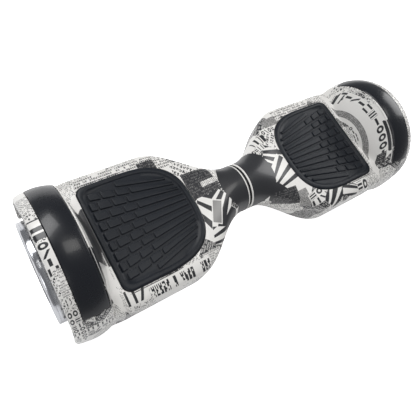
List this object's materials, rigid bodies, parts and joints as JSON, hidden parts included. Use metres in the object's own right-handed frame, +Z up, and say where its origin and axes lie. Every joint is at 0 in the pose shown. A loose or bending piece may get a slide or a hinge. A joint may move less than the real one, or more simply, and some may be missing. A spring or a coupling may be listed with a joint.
{
  "type": "self balancing hoverboard",
  "caption": "Two-wheeled self balancing board: printed shells that twist about a centre shaft, rubber foot pads, and hub motor wheels under fender bands.",
  "frame": {"origin": "on the floor, midway between the wheels and midway front to back", "axes": "+X along the wheel axles towards the half with the charge socket, +Y towards the lamps, +Z up"},
  "size_m": [0.584, 0.186, 0.1779],
  "materials": {
    "printed_shell": "film-printed, clear coated",
    "gloss_black": "gloss",
    "pad_rubber": "moulded, matt",
    "tyre_rubber": "matt",
    "cast_aluminium": "die cast",
    "polished_aluminium": "polished",
    "ground_steel": "ground",
    "screw_steel": "blackened",
    "lamination_steel": "laminated",
    "magnet_nickel": "plated",
    "copper_wire": "enamelled",
    "bush_bronze": "sintered",
    "circuit_board": "solder mask",
    "lamp_board": "white mask",
    "lamp_lens": "frosted",
    "black_plastic": "fine texture",
    "cable_jacket": "satin",
    "battery_wrap": "shrink film",
    "button_silver": "satin"
  },
  "bodies": {
    "left_half": {"left_upper_cover": "printed_shell", "left_lower_cover": "printed_shell", "left_fender_band": "gloss_black", "left_chassis": "cast_aluminium", "left_axle_clamp": "cast_aluminium", "left_clamp_screws": "screw_steel", "left_cover_screws": "screw_steel", "left_board_screws": "screw_steel", "left_sensor_board": "circuit_board", "left_lamp_lens": "lamp_lens", "left_lamp_board": "lamp_board", "left_motor_axle": "ground_steel", "left_stator_core": "lamination_steel", "left_stator_windings": "copper_wire", "left_motor_lead": "cable_jacket", "pivot_shaft": "ground_steel", "stop_pin": "ground_steel", "pivot_circlip": "screw_steel", "neck_sleeve": "black_plastic", "neck_cable": "cable_jacket", "main_board": "circuit_board"},
    "right_half": {"right_upper_cover": "printed_shell", "right_lower_cover": "printed_shell", "right_fender_band": "gloss_black", "right_chassis": "cast_aluminium", "right_axle_clamp": "cast_aluminium", "right_clamp_screws": "screw_steel", "right_cover_screws": "screw_steel", "right_board_screws": "screw_steel", "right_sensor_board": "circuit_board", "right_lamp_lens": "lamp_lens", "right_lamp_board": "lamp_board", "right_motor_axle": "ground_steel", "right_stator_core": "lamination_steel", "right_stator_windings": "copper_wire", "right_motor_lead": "cable_jacket", "pivot_bushes": "bush_bronze", "battery_pack": "battery_wrap", "charge_port": "black_plastic", "button_board": "circuit_board"},
    "left_wheel": {"left_motor_bearings": "ground_steel", "left_rotor_drum": "ground_steel", "left_magnet_ring": "magnet_nickel", "left_rotor_cover": "cast_aluminium", "left_hub_cap": "polished_aluminium", "left_hub_screws": "screw_steel", "left_tyre": "tyre_rubber"},
    "right_wheel": {"right_motor_bearings": "ground_steel", "right_rotor_drum": "ground_steel", "right_magnet_ring": "magnet_nickel", "right_rotor_cover": "cast_aluminium", "right_hub_cap": "polished_aluminium", "right_hub_screws": "screw_steel", "right_tyre": "tyre_rubber"},
    "left_pad": {"left_foot_pad": "pad_rubber"},
    "right_pad": {"right_foot_pad": "pad_rubber"},
    "power_button": {"power_button": "button_silver"},
    "charge_cap": {"charge_cap": "cable_jacket"}
  },
  "joints": [
    {"name": "halves_twist", "type": "hinge", "parent": "left_half", "child": "right_half", "pos_m": [0, 0, 0.0825], "axis": [1, 0, 0], "range_deg": [-12, 12]},
    {"name": "left_wheel_spin", "type": "hinge", "parent": "left_half", "child": "left_wheel", "pos_m": [-0.26, 0, 0.0825], "axis": [1, 0, 0], "continuous": true},
    {"name": "right_wheel_spin", "type": "hinge", "parent": "right_half", "child": "right_wheel", "pos_m": [0.26, 0, 0.0825], "axis": [1, 0, 0], "continuous": true},
    {"name": "left_pad_press", "type": "slide", "parent": "left_half", "child": "left_pad", "axis": [0, 0, -1], "range_m": [0, 0.0015], "stiffness_N_per_m": 6000},
    {"name": "right_pad_press", "type": "slide", "parent": "right_half", "child": "right_pad", "axis": [0, 0, -1], "range_m": [0, 0.0015], "stiffness_N_per_m": 6000},
    {"name": "power_button_press", "type": "slide", "parent": "right_half", "child": "power_button", "axis": [0, 0, 1], "range_m": [0, 0.001], "stiffness_N_per_m": 800},
    {"name": "charge_cap_flip", "type": "hinge", "parent": "right_half", "child": "charge_cap", "pos_m": [0.1025, 0.039, 0.03168], "axis": [1, 0, 0], "range_deg": [0, 100]}
  ]
}
